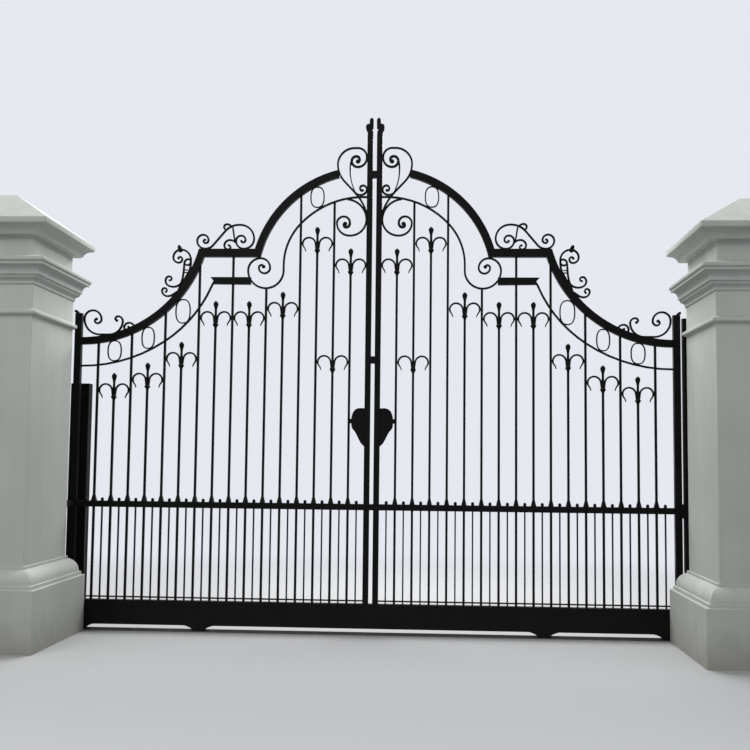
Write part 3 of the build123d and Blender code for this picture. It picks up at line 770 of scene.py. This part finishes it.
# %% Helper: turn a profile
def turned(shape, x, y, profile, sides=24):
    """Adds a solid of revolution; the profile is a list of (height, radius) in millimetres."""
    rings = []
    for z, r in profile:
        rings.append([((x + r * cos(t)) * MM, (y + r * sin(t)) * MM, z * MM)
                      for t in (2 * pi * k / sides for k in range(sides))])
    shape.rings(rings)


print("turning helper ready")

# %% [markdown]
# The pickets stand at one pitch on each side of the seam, with a short bar half a pitch from
# each. Every second one is a spear, and its top follows the rail above it. All spears could be
# copies of one object, but as one mesh with one profile they are easier to handle.

# %% Spears
PITCH = 150
PICKETS = [205.6 + PITCH * n for n in range(16)]
SHORT_BARS = [130.6 + PITCH * n for n in range(17)]
SPEAR_TOPS = {0: 3373, 2: 3568, 4: 2982, 6: 2898, 8: 2898, 10: 2530, 12: 2342, 14: 2247}
SPEAR = [
    (-238, 11.5), (-232, 12.5), (-224, 15), (-216, 21), (-211, 25), (-206, 26.5), (-201, 25),
    (-196, 20.5), (-188, 16.5), (-178, 15.2), (-165, 14.6), (-150, 13.6), (-130, 12.2), (-105, 11),
    (-84, 10.7), (-70, 11.3), (-60, 12.8), (-50, 15.4), (-40, 18.7), (-31, 21.4), (-22, 22.6),
    (-15, 22), (-8, 19.1), (-2, 14.9), (3, 10.2), (7, 5.4), (9, 1.0),
]
spears = Shape()
for n, top in SPEAR_TOPS.items():
    turned(spears, PICKETS[n], 0, [(top + z, r) for z, r in SPEAR])
hang_on_leaf("spear_points", spears, forged_paint, "spear_tips")

# %% [markdown]
# Beside every spear two thin hooks rise from the collar, droop and end in a point. One more pair
# hangs on the collar of the tall picket next to the seam. The bar thins towards its end, as it
# does when it is drawn out on the anvil. A Mirror modifier could make the second hook, but its
# centre would have to move from picket to picket, so each pair is mirrored first and then placed.

# %% Drooping hooks
HOOK = [(0, 62), (-84, 60), (-90, 55), (-34, 45), (0, 14), (30, 66)]
HOOK_OUT, COLLAR_BELOW_TOP = 9.5, 205
HOOK_TOPS = {**SPEAR_TOPS, 1: 2510}
hooks = Shape()
for n, top in HOOK_TOPS.items():
    pair = Shape()
    bend_bar(
        pair, (HOOK_OUT, top - COLLAR_BELOW_TOP), 83, HOOK,
        thick=15.5, deep=17, taper_from=0.75, tip=0.5,
    )
    pair.mirror()
    hooks.add([(PICKETS[n] * MM + x, y, z) for x, y, z in pair.points], pair.faces)
hang_on_leaf("hooks_drooping", hooks, forged_paint, "fleur_hooks")

# %% [markdown]
# The short bars between the pickets stop at the top of the mid rail, each under a small ball. A
# sphere would touch the rail at a point. A turned profile can be flat underneath, so it sits on
# the rail as the real one does.

# %% Balls on the short bars
RAIL_TOP = 1123.0
BALL = [(0, 12.2), (3, 12.8), (6, 13.7), (10, 14), (15, 14), (19, 13.3), (23, 11.6), (26.5, 8.7),
        (29, 4.8), (30, 0.8)]
balls = Shape()
for x in SHORT_BARS:
    turned(balls, x, 0, [(RAIL_TOP + z, r) for z, r in BALL], sides=20)
hang_on_leaf("balls_short_bars", balls, bar_paint, "dog_bar_knobs")

# %% [markdown]
# The lock plates and the finials are cut from plate, so their outlines matter most. They could be
# drawn face by face, but a flat curve with smooth handles gives a clean outline from few points.
# It is filled, given thickness and a small bevel, and then kept as a mesh.

# %% Helper: cut a plate
def cut_plate(name, outlines, half_deep, bevel, stands_for):
    """Plates in the plane of the leaf from outlines of (x, z, is_corner), mirrored to the left."""
    shape = Shape()
    for outline in outlines:
        curve = bpy.data.curves.new(name + "_outline", "CURVE")
        curve.dimensions = "2D"
        curve.fill_mode = "BOTH"
        curve.resolution_u = 6
        curve.extrude = (half_deep - bevel) * MM
        curve.bevel_depth = bevel * MM
        curve.bevel_resolution = 2
        curve.offset = -bevel * MM
        line = curve.splines.new("BEZIER")
        line.use_cyclic_u = True
        line.bezier_points.add(len(outline) - 1)
        for knot, (x, z, corner) in zip(line.bezier_points, outline):
            knot.co = (x * MM, z * MM, 0.0)
            kind = "VECTOR" if corner else "AUTO"
            knot.handle_left_type = knot.handle_right_type = kind
        carrier = bpy.data.objects.new(name + "_outline", curve)
        bpy.context.scene.collection.objects.link(carrier)
        bpy.context.view_layer.update()
        filled = carrier.evaluated_get(bpy.context.evaluated_depsgraph_get())
        flat = bpy.data.meshes.new_from_object(filled)
        points = [(v.co.x, -v.co.z, v.co.y) for v in flat.vertices]
        shape.add(points, [tuple(p.vertices) for p in flat.polygons])
        bpy.data.objects.remove(carrier)
        bpy.data.curves.remove(curve)
        bpy.data.meshes.remove(flat)
    return hang_on_leaf(name, shape, bar_paint, stands_for)


print("plate cutting ready")

# %% [markdown]
# Each lock plate is one half of a heart with a small lug on its outer side, and each finial is a
# tab with a rounded shoulder on its outer side. Points marked 1 are corners, and points marked 0
# are smooth. A finer row of points could do without handles, but the few that give the shape are
# easier to change.

# %% Lock plates and finials
LOCK = [
    (62, 1958, 1), (122, 1958, 0), (150, 1945, 0), (170, 1917, 0), (181, 1880, 0), (182, 1845, 0),
    (178, 1790, 0), (148, 1748, 0), (130, 1715, 0), (113, 1680, 0), (95, 1650, 0), (62, 1618, 1),
]
LUG = [(178, 1865, 1), (178, 1825, 1), (196, 1825, 1), (196, 1865, 1)]
cut_plate("lock_cases", [LOCK, LUG], half_deep=15, bevel=1.5, stands_for="lock_plates")
FINIAL = [
    (17.5, 4400, 1), (17.5, 4436, 1), (31, 4454, 1), (14.5, 4470, 1), (14.5, 4500, 0),
    (14.5, 4541, 0), (18.5, 4553, 0), (25, 4559.5, 0), (32.5, 4561.5, 0), (40, 4559, 0),
    (46.5, 4552, 0), (49.5, 4541, 0), (51, 4508, 1), (61, 4508, 0), (75, 4502, 0),
    (83, 4487, 0), (83, 4467, 0), (77.5, 4448, 0), (67.5, 4433, 1), (67.5, 4400, 1),
]
cut_plate("finials_stile", [FINIAL], half_deep=18, bevel=3, stands_for="stile_finials")

# %% [markdown]
# Each wheel runs in a housing: two plates under the beam, one on either side, that flare down to
# the track and keep stones away from the wheel, with an axle between them. They could be cut from
# a block with Booleans, but a plate is only an outline with a thickness, so two rings skin it,
# and two more skin the axle.

# %% Wheel housings
BEAM_BOTTOM, POCKET_TOP, POCKET_HALF = 55.5, 141.6, 71.6
CHEEK_IN, CHEEK_OUT, PLATE_OUT = 20, 25, 30
AXLE_HEIGHT, AXLE_RADIUS, AXLE_HALF, AXLE_SIDES = 70.0, 10, 21, 24
FLARE = [(130, BEAM_BOTTOM), (108, 50), (88, 43), (71, 34.5), (59, 26), (53, 19.5), (50, 14)]
LOWER_EDGE = FLARE + [(-u, z) for u, z in reversed(FLARE)]
CHEEK = [(-POCKET_HALF, BEAM_BOTTOM), (POCKET_HALF, BEAM_BOTTOM),
         (POCKET_HALF, POCKET_TOP), (-POCKET_HALF, POCKET_TOP)]
WHEELS_AT = (-2545.0, -1490.0, 1490.0, 2545.0)
housings = Shape()
for x in WHEELS_AT:
    for side in (-1, 1):
        for outline, outer in ((LOWER_EDGE, PLATE_OUT), (CHEEK, CHEEK_OUT)):
            rows = [[((x + u) * MM, side * y * MM, z * MM) for u, z in outline]
                    for y in (CHEEK_IN, outer)]
            housings.rings(rows if side == 1 else rows[::-1])
    axle_round = [2 * pi * k / AXLE_SIDES for k in range(AXLE_SIDES)]
    housings.rings([[((x + AXLE_RADIUS * cos(t)) * MM, y * MM,
                      (AXLE_HEIGHT + AXLE_RADIUS * sin(t)) * MM) for t in axle_round]
                    for y in (-AXLE_HALF, AXLE_HALF)])
make_piece("housings_wheels", housings.points, housings.faces, beam_paint,
           "leaf", "black_iron", "wheel_housings")

# %% [markdown]
# Four grooved wheels carry the leaf. Only their lower edge shows, but they turn, so they are
# complete: flanges, groove, a raised hub and a ring of bolt heads that shows the rotation. The
# wheel could be a cylinder cut with a Boolean. Its profile carried round the axle gives a cleaner
# groove, and the bore stays open.

# %% Wheels
RIM, GROOVE, WHEEL_SIDES = 59.57, 46.58, 72
HALF_WHEEL = [
    (10, 10.05), (15, 11.2), (16, 12.5), (16, 19), (14.5, 20.5), (11, 22), (11, 48), (13.5, 51),
    (16, 53), (16, RIM - 1.2), (14.8, RIM), (13, RIM),
]
WHEEL = [(-y, r) for y, r in HALF_WHEEL] + [(0, GROOVE)] + HALF_WHEEL[::-1]
BOLTS, BOLT_CIRCLE = 5, 34
BOLT_HEAD = [(10.5, 6.2), (13.2, 6.2), (14.2, 5.2), (14.4, 0.6)]


def grooved_wheel(number, x):
    shape = Shape()
    rings = []
    for k in range(WHEEL_SIDES):
        t = 2 * pi * k / WHEEL_SIDES
        rings.append([((x + r * cos(t)) * MM, y * MM, (AXLE_HEIGHT + r * sin(t)) * MM)
                      for y, r in WHEEL])
    shape.rings(rings, closed=True)
    for k in range(BOLTS):
        t = 2 * pi * k / BOLTS
        bolt_x, bolt_z = x + BOLT_CIRCLE * cos(t), AXLE_HEIGHT + BOLT_CIRCLE * sin(t)
        for side in (-1, 1):
            head = []
            for y, r in BOLT_HEAD:
                head.append([((bolt_x + r * cos(a)) * MM, side * y * MM, (bolt_z + r * sin(a)) * MM)
                             for a in (pi / 3 * j for j in range(6))])
            shape.rings(head)
    return make_piece(f"grooved_wheel_{number}", shape.points, shape.faces, wheel_steel,
                      f"wheel_{number}", "wheel_steel", f"wheel_{number}")


for number, x in enumerate(WHEELS_AT, 1):
    grooved_wheel(number, x)

# %% [markdown]
# A pillar is a stack of square mouldings. They could be boxes with bevels, but a plasterer runs a
# moulding by pulling a cut profile round the pillar, and so does this helper. A profile is a list
# of insets and heights, carried round a square with its arrises slightly rounded. Curved parts of
# a profile are short arcs through three points.

# %% Helper: run a square moulding
REACH = 612.5


def arc_between(a, via, b, count=8):
    """Points from a to b on the circle through via, without a itself."""
    (x1, y1), (x2, y2), (x3, y3) = a, via, b
    d = 2 * (x1 * (y2 - y3) + x2 * (y3 - y1) + x3 * (y1 - y2))
    s1, s2, s3 = x1**2 + y1**2, x2**2 + y2**2, x3**2 + y3**2
    ux = (s1 * (y2 - y3) + s2 * (y3 - y1) + s3 * (y1 - y2)) / d
    uy = (s1 * (x3 - x2) + s2 * (x1 - x3) + s3 * (x2 - x1)) / d
    first, last = atan2(y1 - uy, x1 - ux), atan2(y3 - uy, x3 - ux)
    middle = atan2(y2 - uy, x2 - ux)
    sweep = (last - first) % (2 * pi)
    if (middle - first) % (2 * pi) > sweep:
        sweep -= 2 * pi
    r = sqrt((x1 - ux) ** 2 + (y1 - uy) ** 2)
    return [(ux + r * cos(first + sweep * i / count), uy + r * sin(first + sweep * i / count))
            for i in range(1, count + 1)]


def square_ring(cx, cy, half, z, arris=5.0, steps=3):
    """A square of half-width half whose corners are rounded in a few steps each."""
    arris = min(arris, half * 0.5)
    ring = []
    for corner, (sx, sy) in enumerate(((1, 1), (-1, 1), (-1, -1), (1, -1))):
        for k in range(steps + 1):
            t = pi / 2 * corner + pi / 2 * k / steps
            ring.append(((cx + sx * (half - arris) + arris * cos(t)) * MM,
                         (cy + sy * (half - arris) + arris * sin(t)) * MM, z * MM))
    return ring


def run_moulding(name, cx, cy, base, profile, finish):
    """Carries a profile of (inset, height) round a pillar; a third value is a point that the
    curve from the last place to this one passes through."""
    points = []
    for inset, z, *via in profile:
        if via:
            points += arc_between(points[-1], via[0], (inset, z))
        else:
            points.append((inset, z))
    shape = Shape()
    shape.rings([square_ring(cx, cy, REACH - inset, base + z) for inset, z in points])
    return make_piece(name + "_render", shape.points, shape.faces, finish,
                      "fixed_works", "stucco", name, edge=28.0)


print("moulding helper ready")

# %% [markdown]
# Both pillars share their profiles, measured from the top of the plinth. Only the plinth differs:
# the left one is taller. Sharp steps in the render are softened by a few millimetres. A pillar
# could be one tall profile, but each moulding stands for its own solid and has its own finish, so
# each is a piece of its own.

# %% Pillars
BASE = [(25, 0), (25, 27), (28, 30), (42, 31), (42, 40), (108, 145, (66, 110)), (118, 146),
        (118, 165), (121, 168)]
SHAFT = [(135, 168), (135, 2378)]
COURSE = [(135, 2130), (106, 2149), (105, 2152), (105, 2170), (106, 2173), (135, 2190)]
LOWER = [
    (135, 2378), (124, 2390), (124, 2398), (104, 2426, (119, 2416)), (90, 2455, (93, 2438)),
    (79, 2456), (78, 2458), (78, 2470), (48, 2528, (71, 2502)), (29, 2529), (28, 2531), (28, 2548),
    (15, 2559), (14, 2562), (14, 2582), (17, 2586), (150, 2622), (150, 2778),
]
UPPER = [(150, 2778), (89, 2779), (88, 2782), (80, 2790), (16, 2845, (58, 2826)), (2, 2854),
         (0, 2858), (0, 2896), (4, 2900)]
CAP = [(3, 2900), (10, 2905), (396, 3164)]
ABOVE_PLINTH = (
    ("base_moulding", BASE, ledge_render), ("pillar_shaft", SHAFT, wall_render),
    ("string_course", COURSE, ledge_render), ("lower_cornice", LOWER, ledge_render),
    ("upper_cornice", UPPER, ledge_render), ("pillar_cap", CAP, cap_render),
)
REAR_FACE, TOP_EDGE = -45.0, 3
SIDES = (("left", -1, -2500.0, 485.0), ("right", 1, 2549.0, 445.0))
for side, way, inner_face, plinth_top in SIDES:
    cx, cy = inner_face + way * REACH, REAR_FACE - REACH
    plinth = [(0, 0), (0, plinth_top - TOP_EDGE), (TOP_EDGE, plinth_top)]
    run_moulding(f"{side}_pillar_plinth", cx, cy, 0, plinth, plinth_render)
    for part, profile, finish in ABOVE_PLINTH:
        run_moulding(f"{side}_{part}", cx, cy, plinth_top, profile, finish)

# %% [markdown]
# The gate stands in a plain studio: a pale floor under it and pale air round it. A floor that
# simply ends shows a hard horizon behind the bars, so this one fades out with the distance from
# the seam. Its material measures that distance and lets the air show through more and more. To
# rays that carry light on to the gate the floor is darker, as ground is, so that the undersides
# of the mouldings stay in shade.

# %% Floor
def seen_by(tree, rays):
    """1 for rays that look at a thing, straight or through a shine or glass, and 0 for light."""
    camera_ray, glossy_ray = rays.outputs["Is Camera Ray"], rays.outputs["Is Glossy Ray"]
    direct = math_node(tree, "MAXIMUM", camera_ray, glossy_ray)
    return math_node(tree, "MAXIMUM", direct, rays.outputs["Is Transmission Ray"])


FLOOR_HALF = 60
FADE_FROM, FADE_TO = 2.2, 8.2
FADE_STRETCH = (0.6, 1.0, 1.0)
FLOOR_LIT, FLOOR_SEEN = (0.24, 0.24, 0.235), (0.43, 0.43, 0.43)
floor_mesh = bpy.data.meshes.new("studio_floor")
square = ((-1, -1), (1, -1), (1, 1), (-1, 1))
floor_corners = [(FLOOR_HALF * x, FLOOR_HALF * y, 0) for x, y in square]
floor_mesh.from_pydata(floor_corners, [], [(0, 1, 2, 3)])
floor = bpy.data.objects.new("studio_floor", floor_mesh)
bpy.context.scene.collection.objects.link(floor)
floor_finish, floor_tree, floor_shader = new_finish("studio_floor_finish")
floor_rays = add_node(floor_tree, "ShaderNodeLightPath")
floor_tone = layered(floor_tree, FLOOR_LIT, FLOOR_SEEN, seen_by(floor_tree, floor_rays))
wire(floor_tree, floor_tone, floor_shader.inputs["Base Color"])
floor_shader.inputs["Roughness"].default_value = 0.9
floor_shader.inputs["Specular IOR Level"].default_value = 0.1
floor_place = add_node(floor_tree, "ShaderNodeTexCoord")
flatten = add_node(floor_tree, "ShaderNodeMapping")
flatten.inputs["Scale"].default_value = FADE_STRETCH
far_from_seam = add_node(floor_tree, "ShaderNodeVectorMath", operation="LENGTH")
wire(floor_tree, floor_place.outputs["Object"], flatten.inputs["Vector"])
wire(floor_tree, flatten.outputs["Vector"], far_from_seam.inputs[0])
fading = add_node(floor_tree, "ShaderNodeMapRange", interpolation_type="SMOOTHSTEP")
fading.inputs["From Min"].default_value = FADE_FROM
fading.inputs["From Max"].default_value = FADE_TO
wire(floor_tree, far_from_seam.outputs["Value"], fading.inputs["Value"])
clear = add_node(floor_tree, "ShaderNodeBsdfTransparent")
blend_floor = add_node(floor_tree, "ShaderNodeMixShader")
wire(floor_tree, fading.outputs["Result"], blend_floor.inputs[0])
wire(floor_tree, floor_shader.outputs[0], blend_floor.inputs[1])
wire(floor_tree, clear.outputs[0], blend_floor.inputs[2])
wire(floor_tree, blend_floor.outputs[0], floor_tree.nodes["Material Output"].inputs["Surface"])
floor_mesh.materials.append(floor_finish)
print("floor fades from", FADE_FROM, "to", FADE_TO, "m")

# %% [markdown]
# The air lights the gate softly from every side. One bright tone for all rays would flood the
# black bars with light. So camera, glossy and transmission rays see a brighter, flat tone, and
# the background is pale and yet adds no light to the gate.

# %% Air round the gate
AIR_SOFT, AIR_SOFT_STRENGTH = (0.90, 0.94, 1.0, 1.0), 0.42
AIR_SEEN = (0.79, 0.81, 0.87, 1.0)
world = bpy.data.worlds.new("studio_air")
bpy.context.scene.world = world
world.use_nodes = True
air = world.node_tree
air_out = air.nodes["World Output"]
air_soft = air.nodes["Background"]
air_soft.inputs["Color"].default_value = AIR_SOFT
air_soft.inputs["Strength"].default_value = AIR_SOFT_STRENGTH
air_seen = add_node(air, "ShaderNodeBackground")
air_seen.inputs["Color"].default_value = AIR_SEEN
air_seen.inputs["Strength"].default_value = 1.0
air_rays = add_node(air, "ShaderNodeLightPath")
blend_air = add_node(air, "ShaderNodeMixShader")
wire(air, seen_by(air, air_rays), blend_air.inputs[0])
wire(air, air_soft.outputs[0], blend_air.inputs[1])
wire(air, air_seen.outputs[0], blend_air.inputs[2])
wire(air, blend_air.outputs[0], air_out.inputs["Surface"])
print("air ready")

# %% [markdown]
# Seen against the light, a gate shows its outline best. A sun lamp behind it would throw a hard
# shadow of every bar on the floor, so the lamps are wide panels. The stronger one is high behind
# the leaf: it lights the caps and the inner faces of the pillars, and leaves their fronts in
# shade. A weaker one in front, from the left, keeps the fronts readable.

# %% Lamps
def soft_panel(name, place_at, aim, size, power, tint):
    lamp = bpy.data.lights.new(name, "AREA")
    lamp.shape = "DISK"
    lamp.size = size
    lamp.energy = power
    lamp.color = tint
    holder = bpy.data.objects.new(name, lamp)
    holder.location = place_at
    holder.rotation_euler = (Vector(aim) - Vector(place_at)).to_track_quat("-Z", "Y").to_euler()
    holder.visible_camera = False
    bpy.context.scene.collection.objects.link(holder)


soft_panel(
    "back_panel", place_at=(0.4, 3.8, 7.6), aim=(0.0, -0.6, 1.6),
    size=7.0, power=1120.0, tint=(0.98, 0.99, 1.0),
)
soft_panel(
    "front_panel", place_at=(-5.5, -9.5, 10.5), aim=(0.0, 0.0, 1.8),
    size=8.0, power=620.0, tint=(1.0, 0.98, 0.95),
)
bpy.context.scene.view_settings.view_transform = "Standard"
print("lamps ready")
